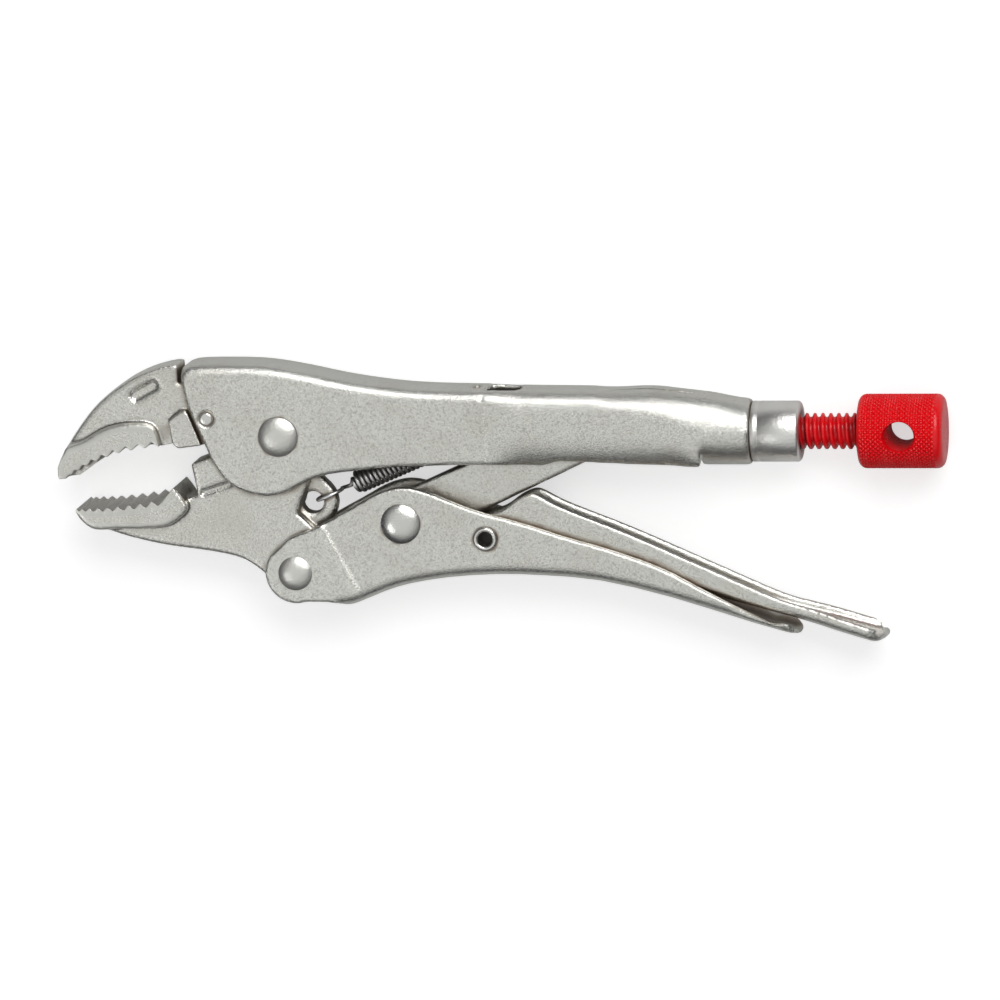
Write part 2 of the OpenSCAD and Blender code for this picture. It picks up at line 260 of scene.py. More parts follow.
# ---------------------------------------------------------------- node tools
class Wiring:
    """Places and joins nodes in one tree."""

    def __init__(self, tree):
        self.tree = tree

    def node(self, kind, **values):
        node = self.tree.nodes.new(kind)
        inputs = values.pop("inputs", {})
        for key, value in values.items():
            setattr(node, key, value)
        for key, value in inputs.items():
            self.feed(node, key, value)
        return node

    def feed(self, node, key, value):
        socket = node.inputs[key]
        if isinstance(value, bpy.types.NodeSocket):
            self.tree.links.new(value, socket)
        else:
            socket.default_value = value

    def math(self, operation, a, b=0.0, c=0.0, clamp=False):
        node = self.node("ShaderNodeMath", operation=operation, use_clamp=clamp)
        for k, value in enumerate((a, b, c)):
            self.feed(node, k, value)
        return node.outputs[0]

    def span(self, value, low, high, to_low=0.0, to_high=1.0, smooth=True):
        node = self.node("ShaderNodeMapRange", interpolation_type="SMOOTHSTEP" if smooth else "LINEAR")
        for key, v in (("Value", value), ("From Min", low), ("From Max", high),
                       ("To Min", to_low), ("To Max", to_high)):
            self.feed(node, key, v)
        return node.outputs["Result"]

    def mix(self, amount, a, b, blend="MIX"):
        node = self.node("ShaderNodeMix", data_type="RGBA", blend_type=blend)
        self.feed(node, 0, amount)
        self.feed(node, 6, a)
        self.feed(node, 7, b)
        return node.outputs[2]

    def noise(self, place, scale, detail=3.0, roughness=0.55, distortion=0.0):
        return self.node("ShaderNodeTexNoise", inputs={
            "Vector": place, "Scale": scale, "Detail": detail, "Roughness": roughness,
            "Distortion": distortion}).outputs["Fac"]


def group(name, inputs, outputs, kind="ShaderNodeTree"):
    tree = bpy.data.node_groups.new(name, kind)
    for label, socket, default in inputs:
        made = tree.interface.new_socket(name=label, in_out="INPUT", socket_type=socket)
        if default is not None:
            made.default_value = default
    for label, socket in outputs:
        tree.interface.new_socket(name=label, in_out="OUTPUT", socket_type=socket)
    return tree, Wiring(tree), tree.nodes.new("NodeGroupInput").outputs, tree.nodes.new("NodeGroupOutput").inputs


FLOAT, COLOUR, VECTOR = "NodeSocketFloat", "NodeSocketColor", "NodeSocketVector"


# ---------------------------------------------------------------- finishes shared by several materials
def blasted_grain():
    """Fine uneven grain left by blasting under the plating, with small bright and dull flecks that go into the colour
    as painted sparkle: painted glints on the fine peaks, painted shade in the low spots.
    """
    tree, w, given, out = group("blasted grain", [("Size", FLOAT, 0.6), ("Pits", FLOAT, 0.5)],
                                [("Height", FLOAT), ("Glint_fleck", FLOAT), ("Shade_speck", FLOAT), ("Cloud", FLOAT)])
    place = w.node("ShaderNodeTexCoord").outputs["Object"]
    scale = w.math("DIVIDE", 1000.0, given["Size"])
    coarse = w.noise(place, scale, 2.0, 0.6)
    fine = w.noise(place, w.math("MULTIPLY", scale, 2.7), 2.0, 0.6)
    cells = w.node("ShaderNodeTexVoronoi", inputs={"Vector": place, "Scale": w.math("MULTIPLY", scale, 0.8)})
    pits = w.math("MULTIPLY", w.span(cells.outputs["Distance"], 0.0, 0.35, 1.0, 0.0), given["Pits"])
    height = w.math("ADD", w.math("MULTIPLY", coarse, 0.7), w.math("MULTIPLY", fine, 0.45))
    tree.links.new(w.math("SUBTRACT", height, w.math("MULTIPLY", pits, 0.25)), out["Height"])
    tree.links.new(w.span(fine, 0.50, 0.68), out["Glint_fleck"])
    tree.links.new(w.span(coarse, 0.50, 0.34), out["Shade_speck"])
    tree.links.new(w.noise(place, 70.0, 3.0, 0.6), out["Cloud"])
    return tree


def hollow_shade():
    """Painted shade in hollows, with a brown tint: the colour turns darker and browner where the hollow attribute says
    a point is boxed in; and rubbing that brightens the corners.
    """
    tree, w, given, out = group("hollow_shade", [("Plating", COLOUR, (0.8, 0.8, 0.8, 1)), ("Film", COLOUR, (0.2, 0.13, 0.08, 1)),
                                            ("Depth", FLOAT, 1.0), ("Rub", FLOAT, 0.3)],
                                [("Colour", COLOUR), ("Shade_and_tint", FLOAT), ("Rubbed", FLOAT)])
    hollow = w.node("ShaderNodeAttribute", attribute_name="hollow").outputs["Fac"]
    corner = w.node("ShaderNodeAttribute", attribute_name="corner").outputs["Fac"]
    place = w.node("ShaderNodeTexCoord").outputs["Object"]
    patch = w.noise(place, 180.0, 4.0, 0.65)
    # painted shade: a darker, browner colour mixed in by how boxed in each point is
    shade_and_tint = w.math("MULTIPLY", w.span(w.math("ADD", hollow, w.math("MULTIPLY", w.math("SUBTRACT", patch, 0.5), 0.35)),
                                        0.14, 0.62), given["Depth"], clamp=True)
    rubbed = w.math("MULTIPLY", w.math("MULTIPLY", corner, w.span(patch, 0.3, 0.6)), given["Rub"], clamp=True)
    colour = w.mix(shade_and_tint, given["Plating"], given["Film"])
    tree.links.new(w.mix(rubbed, colour, (0.93, 0.91, 0.87, 1)), out["Colour"])
    tree.links.new(shade_and_tint, out["Shade_and_tint"])
    tree.links.new(rubbed, out["Rubbed"])
    return tree


def hairlines():
    """Thin scratches in all directions, from handling."""
    tree, w, given, out = group("hairlines", [("Spread", FLOAT, 500.0), ("Fineness", FLOAT, 0.02)], [("Mask", FLOAT)])
    place = w.node("ShaderNodeTexCoord").outputs["Object"]
    total = None
    for turn, stretch in ((0.4, 0.05), (1.9, 0.04), (2.7, 0.06)):
        spun = w.node("ShaderNodeMapping", inputs={"Vector": place, "Rotation": (0.3, 0.2, turn), "Scale": (stretch, 1.0, 1.0)})
        line = w.noise(spun.outputs[0], given["Spread"], 1.0, 0.4, 0.3)
        thin = w.math("LESS_THAN", w.math("ABSOLUTE", w.math("SUBTRACT", line, 0.5)), given["Fineness"])
        total = thin if total is None else w.math("MAXIMUM", total, thin)
    tree.links.new(w.math("MULTIPLY", total, w.span(w.noise(place, 120.0, 2.0), 0.5, 0.62)), out["Mask"])
    return tree


GRAIN, HOLLOW_SHADE, LINES = blasted_grain(), hollow_shade(), hairlines()


def material(name):
    made = bpy.data.materials.new(name)
    made.use_nodes = True
    w = Wiring(made.node_tree)
    return made, w, made.node_tree.nodes["Principled BSDF"]


def placed(w, tree, **values):
    node = w.node("ShaderNodeGroup", node_tree=tree)
    for key, value in values.items():
        w.feed(node, key, value)
    return node.outputs


def plated(name, colour, shade_colour, grain_size, bump, rough, depth=1.0, rub=0.35, pits=0.5, painted_sparkle=0.12):
    """Satin nickel plating over blasted steel."""
    made, w, skin = material(name)
    grain = placed(w, GRAIN, Size=grain_size, Pits=pits)
    # hollows get a darker, browner colour here: painted shade with a brown tint
    hollow_shading = placed(w, HOLLOW_SHADE, Plating=colour, Film=shade_colour, Depth=depth, Rub=rub)
    warm = w.mix(w.math("MULTIPLY", w.span(grain["Cloud"], 0.4, 0.75), 0.28), hollow_shading["Colour"], (0.60, 0.55, 0.47, 1))
    # painted sparkle: bright flecks are painted glints and dark specks painted shade, over the grain's own tone
    sparkled = w.mix(w.math("MULTIPLY", grain["Glint_fleck"], painted_sparkle), warm, (1.0, 0.99, 0.97, 1))
    sparkled = w.mix(w.math("MULTIPLY", grain["Shade_speck"], painted_sparkle * 1.1), sparkled, (0.33, 0.32, 0.29, 1))
    w.feed(skin, "Base Color", sparkled)
    skin.inputs["Metallic"].default_value = 1.0
    base = w.math("SUBTRACT", rough, w.math("MULTIPLY", grain["Glint_fleck"], 0.12))
    base = w.math("ADD", base, w.math("MULTIPLY", w.math("SUBTRACT", grain["Cloud"], 0.5), 0.12))
    base = w.math("ADD", base, w.math("MULTIPLY", hollow_shading["Shade_and_tint"], 0.25))
    w.feed(skin, "Roughness", w.math("SUBTRACT", base, w.math("MULTIPLY", hollow_shading["Rubbed"], 0.12), clamp=True))
    relief = w.node("ShaderNodeBump", inputs={"Strength": 1.0, "Distance": bump * MM, "Height": grain["Height"]})
    w.feed(skin, "Normal", relief.outputs[0])
    return made


def bright(name, colour, rough, grain_size, bump, rub=0.2):
    """Turned or ground steel: smooth, with fine wear."""
    made, w, skin = material(name)
    grain = placed(w, GRAIN, Size=grain_size, Pits=0.3)
    # hollows get a dark brown colour: painted shade
    hollow_shading = placed(w, HOLLOW_SHADE, Plating=colour, Film=(0.12, 0.09, 0.07, 1), Depth=0.8, Rub=rub)
    lines = placed(w, LINES, Spread=700.0, Fineness=0.014)
    clouded = w.math("MULTIPLY", w.span(grain["Cloud"], 0.35, 0.8), 0.22)
    w.feed(skin, "Base Color", w.mix(clouded, hollow_shading["Colour"], (0.5, 0.48, 0.45, 1)))
    skin.inputs["Metallic"].default_value = 1.0
    base = w.math("ADD", rough, w.math("MULTIPLY", w.math("SUBTRACT", grain["Cloud"], 0.5), 0.14))
    base = w.math("ADD", base, w.math("MULTIPLY", lines["Mask"], 0.1))
    w.feed(skin, "Roughness", w.math("ADD", base, w.math("MULTIPLY", hollow_shading["Shade_and_tint"], 0.2), clamp=True))
    relief = w.node("ShaderNodeBump", inputs={"Strength": 1.0, "Distance": bump * MM, "Height": grain["Height"]})
    w.feed(skin, "Normal", relief.outputs[0])
    return made


def gloss_paint():
    """Red gloss enamel, slightly uneven."""
    made, w, skin = material("red_enamel")
    place = w.node("ShaderNodeTexCoord").outputs["Object"]
    # hollows get a dark red colour: painted shade
    hollow_shading = placed(w, HOLLOW_SHADE, Plating=(0.86, 0.004, 0.010, 1), Film=(0.10, 0.002, 0.004, 1), Depth=0.9, Rub=0.0)
    lines = placed(w, LINES, Spread=600.0, Fineness=0.012)
    cloud = w.noise(place, 160.0, 3.0, 0.6)
    speck = w.noise(place, 2300.0, 2.0, 0.6)
    tint = w.mix(w.math("MULTIPLY", w.span(cloud, 0.35, 0.75), 0.35), hollow_shading["Colour"], (0.88, 0.012, 0.014, 1))
    tint = w.mix(w.math("MULTIPLY", w.span(speck, 0.62, 0.75), 0.18), tint, (0.92, 0.06, 0.06, 1))
    w.feed(skin, "Base Color", tint)
    base = w.math("ADD", 0.30, w.math("MULTIPLY", w.math("SUBTRACT", cloud, 0.5), 0.25))
    w.feed(skin, "Roughness", w.math("ADD", base, w.math("MULTIPLY", lines["Mask"], 0.2), clamp=True))
    skin.inputs["IOR"].default_value = 1.42
    skin.inputs["Coat Weight"].default_value = 0.15
    skin.inputs["Coat Roughness"].default_value = 0.12
    peel = w.math("ADD", w.math("MULTIPLY", w.noise(place, 900.0, 2.0), 0.7), w.math("MULTIPLY", speck, 0.3))
    relief = w.node("ShaderNodeBump", inputs={"Strength": 1.0, "Distance": 0.03 * MM, "Height": peel})
    w.feed(skin, "Normal", relief.outputs[0])
    return made


NICKEL = (0.78, 0.775, 0.73, 1)
# the next colour, and forged_plating's second colour, are the painted shade with a brown tint for the hollows
BROWN_SHADE = (0.27, 0.195, 0.13, 1)
HANDLE_PLATING = plated("satin_plating", NICKEL, BROWN_SHADE, 0.50, 0.14, 0.25, painted_sparkle=0.32)
JAW_PLATING = plated("forged_plating", (0.76, 0.75, 0.705, 1), (0.22, 0.165, 0.11, 1), 0.60, 0.12, 0.26,
                     rub=0.5, painted_sparkle=0.26)
GROUND_TEETH = bright("ground_teeth", (0.78, 0.77, 0.73, 1), 0.33, 0.6, 0.05, rub=0.6)
RIVET_STEEL = bright("rivet_steel", (0.82, 0.81, 0.77, 1), 0.36, 0.9, 0.10)
POLISHED_STEEL = bright("polished_steel", (0.84, 0.83, 0.80, 1), 0.22, 0.9, 0.05)
BUSH_STEEL = bright("bush_steel", (0.90, 0.89, 0.86, 1), 0.32, 0.7, 0.10)
SPRING_STEEL = bright("spring_steel", (0.96, 0.97, 1.0, 1), 0.30, 0.8, 0.01)
NOSE_STEEL = bright("nose_steel", (0.42, 0.41, 0.40, 1), 0.34, 0.8, 0.01)
RED = gloss_paint()


# ---------------------------------------------------------------- handles, link and lever
def worn_edges(piece, width, drop, spare=None):
    """Rounds the outer corners over more deeply than tumbling does; spare marks points that stay crisp."""
    mesh = piece.data
    co, normal, sharp = points(mesh), normals(mesh), corners(mesh)
    edge = np.flatnonzero(sharp > 0.30)
    near = KDTree(len(edge))
    for k, v in enumerate(edge):
        near.insert(co[v], k)
    near.balance()
    reach = width * MM
    gap = np.array([near.find(c)[2] for c in co])
    pull = drop * MM * np.clip(1 - gap / reach, 0, 1) ** 2
    if spare is not None:
        pull *= 1 - spare(local(co))
    put_points(mesh, co - normal * pull[:, None])
    return piece


def upper_handle():
    # the sheet that the spring's tab was lanced from leaves a slot behind it in the back
    slot = block("tab_slot", (58.4, 8.5, -4.6), (67.2, 20.0, 4.6))
    piece = worn_edges(tumbled("handle_upper", "upper_handle", 0.5 * MM, 5, slot), 1.0, 0.22)
    co = points(piece.data)
    p = local(co)
    side = np.sign(p[:, 2])
    # behind the forming line the sheet is rolled towards a tube, so its flanks curl in above and below
    # its back stays full until just ahead of the bush, then drops to the tube
    back = ramp(p[:, 0], 88.0, 108.0) * (1 - ramp(p[:, 0], 117.0, 132.0)) * ramp(p[:, 1], 1.0, 8.5)
    co[:, 1] += 2.1 * MM * back
    p = local(co)
    y = p[:, 1] - 2.5
    curl = np.where(y > 0, (np.abs(y) / 13.2) ** 3.0, (np.abs(y) / 13.4) ** 2.6)
    rolled = ramp(p[:, 0], 57.0, 70.0) * (1 - ramp(p[:, 0], 108.0, 126.0))
    keep = 1 - rolled * (1 - np.sqrt(np.clip(1 - curl, 0.12, 1)))
    inner = np.abs(p[:, 2]) > 2.6
    co[:, 2] = PIVOT.z + (co[:, 2] - PIVOT.z) * np.where(inner, keep, 1.0)
    # the line where the rolled half of the handle begins
    groove = np.exp(-((p[:, 0] - 57.8) / 0.45) ** 2) * ramp(np.abs(p[:, 2]), 6.8, 7.6)
    co[:, 2] -= side * 0.22 * MM * groove
    put_points(piece.data, co)
    return piece


def lower_handle():
    piece = worn_edges(tumbled("handle_lower", "lower_handle", 0.48 * MM, 5), 1.0, 0.22)
    co = points(piece.data)
    p = local(co)
    side = np.sign(p[:, 2])
    # the ears around the handle rivet stand a little proud of the grip, past a slanting bend
    a, b = np.array([11.8, -25.4]), np.array([19.7, -40.3])
    along = (b - a) / np.linalg.norm(b - a)
    away = np.array([along[1], -along[0]])
    reach = (p[:, :2] - a) @ away
    proud = 0.45 * ramp(reach, -0.7, 0.9) + 0.20 * np.exp(-((reach - 0.3) / 0.8) ** 2)
    co[:, 2] += side * MM * proud * ramp(np.abs(p[:, 2]), 4.5, 5.4)
    put_points(piece.data, co)
    return piece


def release_lever():
    piece = worn_edges(tumbled("lever", "release_lever", 0.42 * MM, 4), 0.8, 0.18)
    co = points(piece.data)
    # the very end of the thumb rest is curled up
    co[:, 1] += 2.0 * MM * ramp(local(co)[:, 0], 163.5, 169.5) ** 1.6
    put_points(piece.data, co)
    return piece


def toggle_link():
    return worn_edges(tumbled("link", "toggle_link", 0.4 * MM, 4), 1.0, 0.25)


# ---------------------------------------------------------------- jaws
PAD_TOP, PAD_BOTTOM = -3.0, -26.0


def tooth_zone(mesh, side):
    """Marks the ground pad, its flanks and its toothed face; side is 1 for the upper jaw, -1 for the lower."""
    centre = np.empty(len(mesh.polygons) * 3)
    normal = np.empty(len(mesh.polygons) * 3)
    mesh.polygons.foreach_get("center", centre)
    mesh.polygons.foreach_get("normal", normal)
    c, n = local(centre.reshape(-1, 3)), normal.reshape(-1, 3)
    zone = (np.abs(c[:, 2]) > 6.0) & (c[:, 0] < -31.0) & (np.abs(n[:, 1]) > 0.0)
    within = c[:, 1] < PAD_TOP if side > 0 else c[:, 1] > PAD_BOTTOM
    zone |= (c[:, 0] < -33.0) & (n[:, 1] * side < -0.15) & (np.abs(c[:, 2]) < 9.2) & within
    mesh.polygons.foreach_set("material_index", zone.astype(np.int32))


def upper_jaw():
    def teeth(p):
        return 1 - ramp(p[:, 1] - 0.33 * (p[:, 0] + 60), -6.0, -2.0)

    return worn_edges(tumbled("jaw_upper", "upper_jaw", 0.33 * MM, 3), 1.9, 0.5, teeth)


def lower_jaw():
    def teeth(p):
        return ramp(p[:, 1], -22.5, -20.5) * (1 - ramp(p[:, 0], -31.0, -29.0))

    return worn_edges(tumbled("jaw_lower", "lower_jaw", 0.33 * MM, 3), 1.5, 0.4, teeth)


# ---------------------------------------------------------------- rivets and pins
def domed_rivet(name, place, shank, head, rise, half):
    """A solid rivet with low domes, a softened rim and a small flat where each was set."""
    r = head / 2
    outline = []
    for k in range(13):
        radius = 0.5 + (r - 0.12 - 0.5) * math.sin(math.pi / 2 * k / 12)
        outline.append((half + 0.22 + (rise - 0.22) * (1 - (radius / r) ** 2.7), radius))
    top = [(outline[0][0], 0.0)] + outline
    rim = outline[-1][0]
    top += [(rim - 0.14, r - 0.02), (half + 0.06, r - 0.02), (half, r - 0.2), (half, shank / 2)]
    profile = [(-z, rad) for z, rad in top]
    profile += [(z, rad) for z, rad in reversed(top)]
    piece = turned(name, profile)
    return set_down(piece, Matrix.Translation(place))


def tie_pin():
    low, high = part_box("tie_pin")
    half, r = (high.z - low.z) / 2 / MM, (high.x - low.x) / 2 / MM
    face = [(half, 0.0), (half, r - 0.55), (half - 0.12, r - 0.2), (half - 0.4, r)]
    profile = [(-z, rad) for z, rad in face] + [(z, rad) for z, rad in reversed(face)]
    return set_down(turned("pin_tie", profile), Matrix.Translation((low + high) / 2))


def hollow_rivet():
    """A tubular rivet, its ends rolled out over the handle."""
    low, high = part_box("lever_rivet")
    half, head = (high.z - low.z) / 2 / MM, (high.x - low.x) / 2 / MM
    bore, shank, wall = 2.0, 2.7, HANDLE_HALF / MM
    top = [(0.0, bore), (half - 0.9, bore), (half - 0.35, bore + 0.12), (half - 0.08, bore + 0.4),
           (half, bore + 0.72), (half - 0.1, head - 0.35), (half - 0.4, head - 0.06), (wall + 0.12, head),
           (wall, head - 0.12), (wall, shank), (0.0, shank)]
    profile = top[:-1] + [(0.0, shank)] + [(-z, rad) for z, rad in reversed(top[1:-1])]
    return set_down(turned("rivet_hollow", profile), Matrix.Translation((low + high) / 2))


# ---------------------------------------------------------------- screw, knob and bush
def bush():
    low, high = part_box("threaded_bush")
    length = (high.x - low.x) / MM
    r, neck, hole = (high.y - low.y) / 2 / MM, 6.9, 5.25
    collar = 14.0
    profile = [(0.0, hole), (0.0, neck - 0.4), (0.4, neck), (collar + 0.02, neck), (collar + 0.02, r - 0.35), (collar + 0.35, r),
               (collar + 1.9, r), (collar + 2.05, r - 0.16), (collar + 2.25, r - 0.16), (collar + 2.4, r),
               (length - 0.95, r), (length - 0.55, r - 0.13), (length - 0.15, r - 0.5), (length, r - 0.95),
               (length, hole + 0.75), (length - 0.6, hole)]
    piece = turned("bush", profile, 96)
    return set_down(piece, Matrix.Translation(Vector((low.x, SCREW_AXIS.y, SCREW_AXIS.z))) @ TO_X)


def thread_tree():
    """A turned rod along Z whose wall rises and falls once for each pitch, running round as a helix."""
    tree, w, given, out = group("rolled thread", [
        ("Length", FLOAT, 0.06), ("Radius", FLOAT, 0.005), ("Pitch", FLOAT, 0.0022), ("Depth", FLOAT, 0.0012),
        ("Run in", FLOAT, 0.002), ("Around", "NodeSocketInt", 72), ("Along", "NodeSocketInt", 340),
        ("Material", "NodeSocketMaterial", None)], [("Geometry", "NodeSocketGeometry")], "GeometryNodeTree")
    rod = w.node("GeometryNodeMeshCylinder", fill_type="NGON", inputs={
        "Vertices": given["Around"], "Side Segments": given["Along"], "Radius": given["Radius"],
        "Depth": given["Length"]})
    place = w.node("ShaderNodeSeparateXYZ", inputs={0: w.node("GeometryNodeInputPosition").outputs[0]}).outputs
    angle = w.math("DIVIDE", w.math("ARCTAN2", place["Y"], place["X"]), 2 * math.pi)
    phase = w.math("FRACT", w.math("ADD", w.math("SUBTRACT", w.math("DIVIDE", place["Z"], given["Pitch"]), angle), 64.0))
    crest = w.math("ABSOLUTE", w.math("SUBTRACT", w.math("MULTIPLY", phase, 2.0), 1.0))
    flank = w.span(crest, 0.22, 0.80)
    from_end = w.math("SUBTRACT", w.math("DIVIDE", given["Length"], 2.0), w.math("ABSOLUTE", place["Z"]))
    run = w.math("MULTIPLY", w.span(from_end, 0.0, given["Run in"]), flank)
    cut = w.math("MULTIPLY", given["Depth"], w.math("SUBTRACT", 1.0, run))
    spoke = w.node("ShaderNodeCombineXYZ", inputs={"X": place["X"], "Y": place["Y"]})
    out_ward = w.node("ShaderNodeVectorMath", operation="NORMALIZE", inputs={0: spoke.outputs[0]})
    sunk = w.math("MULTIPLY", cut, -1.0)
    shift = w.node("ShaderNodeVectorMath", operation="SCALE", inputs={0: out_ward.outputs[0], "Scale": sunk})
    moved = w.node("GeometryNodeSetPosition", inputs={"Geometry": rod.outputs["Mesh"], "Offset": shift.outputs[0]})
    real = w.node("GeometryNodeRealizeInstances", inputs={"Geometry": moved.outputs[0]})
    coated = w.node("GeometryNodeSetMaterial", inputs={"Geometry": real.outputs[0], "Material": given["Material"]})
    tree.links.new(coated.outputs[0], out["Geometry"])
    return tree


def knurl_tree():
    """A turned knob along Z: rounded ends and two crossing sets of fine helical cuts."""
    tree, w, given, out = group("diamond knurl", [
        ("Length", FLOAT, 0.0237), ("Radius", FLOAT, 0.01025), ("Corner", FLOAT, 0.0022), ("Cut", FLOAT, 0.0003),
        ("Rows", FLOAT, 52.0), ("Lead", FLOAT, 0.00125), ("Plain end", FLOAT, 0.0025), ("Around", "NodeSocketInt", 312),
        ("Along", "NodeSocketInt", 120), ("Material", "NodeSocketMaterial", None)],
        [("Geometry", "NodeSocketGeometry")], "GeometryNodeTree")
    drum = w.node("GeometryNodeMeshCylinder", fill_type="NGON", inputs={
        "Vertices": given["Around"], "Side Segments": given["Along"], "Radius": given["Radius"],
        "Depth": given["Length"]})
    place = w.node("ShaderNodeSeparateXYZ", inputs={0: w.node("GeometryNodeInputPosition").outputs[0]}).outputs
    half = w.math("DIVIDE", given["Length"], 2.0)
    inset = w.math("SUBTRACT", half, w.math("ABSOLUTE", place["Z"]))
    short = w.math("MAXIMUM", w.math("SUBTRACT", given["Corner"], inset), 0.0)
    square = w.math("SUBTRACT", w.math("MULTIPLY", given["Corner"], given["Corner"]), w.math("MULTIPLY", short, short))
    fall = w.math("SUBTRACT", given["Corner"], w.math("SQRT", w.math("MAXIMUM", square, 0.0)))
    angle = w.math("MULTIPLY", w.math("ARCTAN2", place["Y"], place["X"]), given["Rows"])
    climb = w.math("MULTIPLY", w.math("DIVIDE", place["Z"], given["Lead"]), 2 * math.pi)
    first = w.math("ABSOLUTE", w.math("SINE", w.math("MULTIPLY", w.math("ADD", angle, climb), 0.5)))
    second = w.math("ABSOLUTE", w.math("SINE", w.math("MULTIPLY", w.math("SUBTRACT", angle, climb), 0.5)))
    peak = w.math("MINIMUM", first, second)
    ends = w.math("MULTIPLY", w.span(w.math("SUBTRACT", half, place["Z"]), w.math("MULTIPLY", given["Plain end"], 0.5), given["Plain end"]),
                  w.span(w.math("ADD", half, place["Z"]), 0.0008, 0.0016))
    groove = w.math("MULTIPLY", given["Cut"], w.math("MULTIPLY", ends, w.math("SUBTRACT", 1.0, w.span(peak, 0.0, 0.75))))
    spoke = w.node("ShaderNodeCombineXYZ", inputs={"X": place["X"], "Y": place["Y"]})
    out_ward = w.node("ShaderNodeVectorMath", operation="NORMALIZE", inputs={0: spoke.outputs[0]})
    sunk = w.math("MULTIPLY", w.math("ADD", fall, groove), -1.0)
    shift = w.node("ShaderNodeVectorMath", operation="SCALE", inputs={0: out_ward.outputs[0], "Scale": sunk})
    moved = w.node("GeometryNodeSetPosition", inputs={"Geometry": drum.outputs["Mesh"], "Offset": shift.outputs[0]})
    real = w.node("GeometryNodeRealizeInstances", inputs={"Geometry": moved.outputs[0]})
    coated = w.node("GeometryNodeSetMaterial", inputs={"Geometry": real.outputs[0], "Material": given["Material"]})
    tree.links.new(coated.outputs[0], out["Geometry"])
    return tree


def wire_tree():
    """Round wire swept along the edges of a path."""
    tree, w, given, out = group("drawn wire", [
        ("Path", "NodeSocketGeometry", None), ("Radius", FLOAT, 0.00055), ("Sides", "NodeSocketInt", 12),
        ("Material", "NodeSocketMaterial", None)], [("Geometry", "NodeSocketGeometry")], "GeometryNodeTree")
    line = w.node("GeometryNodeMeshToCurve", inputs={"Mesh": given["Path"]})
    ring = w.node("GeometryNodeCurvePrimitiveCircle", inputs={"Resolution": given["Sides"], "Radius": given["Radius"]})
    sweep = w.node("GeometryNodeCurveToMesh", inputs={"Curve": line.outputs[0], "Profile Curve": ring.outputs[0], "Fill Caps": True})
    real = w.node("GeometryNodeRealizeInstances", inputs={"Geometry": sweep.outputs[0]})
    coated = w.node("GeometryNodeSetMaterial", inputs={"Geometry": real.outputs[0], "Material": given["Material"]})
    tree.links.new(coated.outputs[0], out["Geometry"])
    return tree


def grown(name, tree, mesh=None, **values):
    """A piece made by a geometry tree, its sizes set by name, turned into a plain mesh."""
    piece = shown(name, mesh or bpy.data.meshes.new(name))
    modifier = piece.modifiers.new(name, "NODES")
    modifier.node_group = tree
    for item in tree.interface.items_tree:
        if item.in_out == "INPUT" and item.name in values:
            modifier[item.identifier] = values[item.name]
    piece.data.update()
    settled(piece)
    bm = bmesh.new()
    bm.from_mesh(piece.data)
    bmesh.ops.remove_doubles(bm, verts=bm.verts, dist=1e-7)
    bmesh.ops.recalc_face_normals(bm, faces=bm.faces)
    bm.to_mesh(piece.data)
    bm.free()
    return piece


def drilled(piece, tool):
    """Cuts the tool's shape out of a piece."""
    cut = piece.modifiers.new("hole", "BOOLEAN")
    cut.operation, cut.solver, cut.object = "DIFFERENCE", "EXACT", tool
    settled(piece)
    bpy.data.objects.remove(tool)
    piece.data.polygons.foreach_set("material_index", np.zeros(len(piece.data.polygons), np.int32))
    return piece


KNOB_LENGTH = 23.7
KNOB_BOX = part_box("adjusting_screw")


def screw_thread():
    low, high = KNOB_BOX
    start, stop = low.x, high.x - (KNOB_LENGTH - 1.0) * MM
    length = stop - start
    piece = grown("screw_thread", thread_tree(), Length=length, Radius=5.0 * MM, Pitch=2.2 * MM, Depth=1.05 * MM,
                  **{"Run in": 2.0 * MM, "Material": RED, "Around": 72, "Along": int(length / (0.19 * MM))})
    return set_down(piece, Matrix.Translation(Vector(((start + stop) / 2, SCREW_AXIS.y, SCREW_AXIS.z))) @ TO_X)


def knob():
    low, high = KNOB_BOX
    middle = Vector((high.x - KNOB_LENGTH / 2 * MM, SCREW_AXIS.y, SCREW_AXIS.z))
    piece = grown("knob", knurl_tree(), Length=KNOB_LENGTH * MM, Radius=(high.z - low.z) / 2,
                  Corner=2.2 * MM, Cut=0.46 * MM,
                  **{"Rows": 46.0, "Lead": 1.4 * MM, "Plain end": 3.2 * MM, "Material": RED, "Around": 322, "Along": 132})
    set_down(piece, Matrix.Translation(middle) @ TO_X)
    hole = [(-14.0, 0.0), (-14.0, 5.2), (-10.3, 4.75), (-9.0, 4.15), (-8.2, 4.0),
            (8.2, 4.0), (9.0, 4.15), (10.3, 4.75), (14.0, 5.2), (14.0, 0.0)]
    tool = set_down(turned("drill", hole, 64), Matrix.Translation(middle))
    return drilled(piece, tool)


def screw_nose():
    low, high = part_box("screw_nose")
    r, length = (high.y - low.y) / 2 / MM, (high.x - low.x) / MM
    profile = [(0.0, 0.0), (0.15, 1.4), (0.6, 2.7), (1.1, r - 0.25), (1.5, r), (3.0, r), (3.2, r - 0.2),
               (3.2, 1.5), (length, 1.5), (length, 0.0)]
    foot = Matrix.Translation(Vector((low.x, SCREW_AXIS.y, SCREW_AXIS.z)))
    return set_down(turned("nose", profile), foot @ TO_X)


